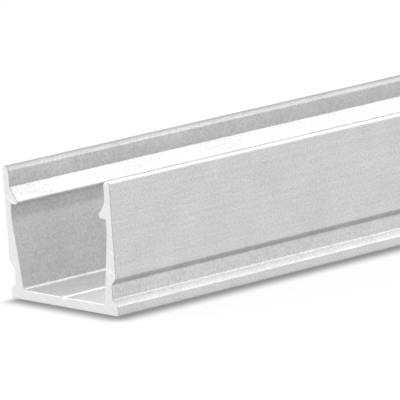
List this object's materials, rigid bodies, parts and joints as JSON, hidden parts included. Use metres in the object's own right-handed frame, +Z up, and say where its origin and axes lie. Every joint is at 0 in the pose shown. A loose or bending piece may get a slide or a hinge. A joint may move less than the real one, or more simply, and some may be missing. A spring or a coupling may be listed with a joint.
{
  "type": "aluminium channel profile",
  "caption": "Straight U-shaped aluminium extrusion for a light strip, with inner ribs that hold a snap-in cover and outer grooves for spring clips.",
  "frame": {"origin": "on the underside, at mid length and mid width", "axes": "+X along the bar, with the end seen in the picture at -X; +Z up, out of the open channel; -Y towards the outer side seen in the picture"},
  "size_m": [1, 0.016, 0.0131],
  "materials": {
    "anodised_aluminium": "satin, clear anodised"
  },
  "bodies": {
    "root": {"channel_profile": "anodised_aluminium"}
  },
  "joints": []
}
